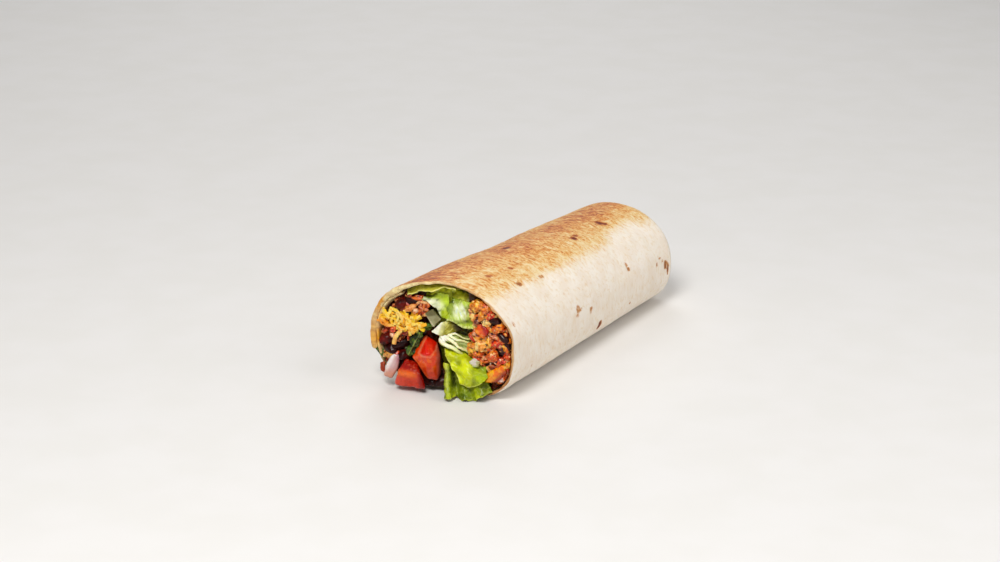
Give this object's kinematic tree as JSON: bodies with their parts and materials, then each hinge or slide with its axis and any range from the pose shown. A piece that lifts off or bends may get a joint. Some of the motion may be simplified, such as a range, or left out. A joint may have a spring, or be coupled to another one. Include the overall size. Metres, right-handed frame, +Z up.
{
  "type": "burrito",
  "caption": "Toasted wheat tortilla rolled round beans, rice, seasoned meat, cheese, tomato and lettuce, folded shut at one end and open at the other.",
  "frame": {"origin": "middle of the flat strip on the underside that the burrito rests on, half way along its length", "axes": "+Z up; +Y along the roll towards the folded shut end, the open mouth faces -Y; +X towards the pale flank, to the right when looking into the mouth from in front"},
  "size_m": [0.0682, 0.1825, 0.0542],
  "materials": {
    "tortilla": "dry baked wheat sheet, cream with golden to red-brown toasting on top",
    "bean_rice": "moist dark beans with orange rice",
    "meat_rice": "oily orange-red crumbled meat and rice",
    "lettuce": "crisp yellow-green leaf",
    "lettuce_rib": "pale olive rib with a white cut end",
    "lettuce_shreds": "white to pale green shreds",
    "herb": "dark green herb leaf",
    "tomato": "wet cut tomato, red skin side and orange-red flesh",
    "pepper": "glossy orange pepper",
    "green_pepper": "grey-green glossy dice",
    "onion": "translucent white onion with a mauve cast",
    "cheese": "soft yellow cheese"
  },
  "bodies": {
    "root": {"tortilla": "tortilla", "bean_rice_filling": "bean_rice", "meat_rice_filling": "meat_rice", "salad_filling": "lettuce", "lettuce_tongue": "lettuce", "lettuce_spill": "lettuce", "lettuce_rib": "lettuce_rib", "lettuce_shreds": "lettuce_shreds", "lettuce_upper_right": "lettuce", "lettuce_upper_left": "lettuce", "lettuce_top": "lettuce", "lettuce_under_rim": "lettuce", "rim_leaf": "herb", "cilantro_leaf": "herb", "cilantro_bit": "herb", "tomato_large": "tomato", "tomato_small": "tomato", "tomato_bit": "tomato", "red_dice": "tomato", "pepper_strip": "pepper", "green_dice": "green_pepper", "onion_slice": "onion", "onion_bit": "onion", "cheese_shreds": "cheese"}
  },
  "joints": []
}
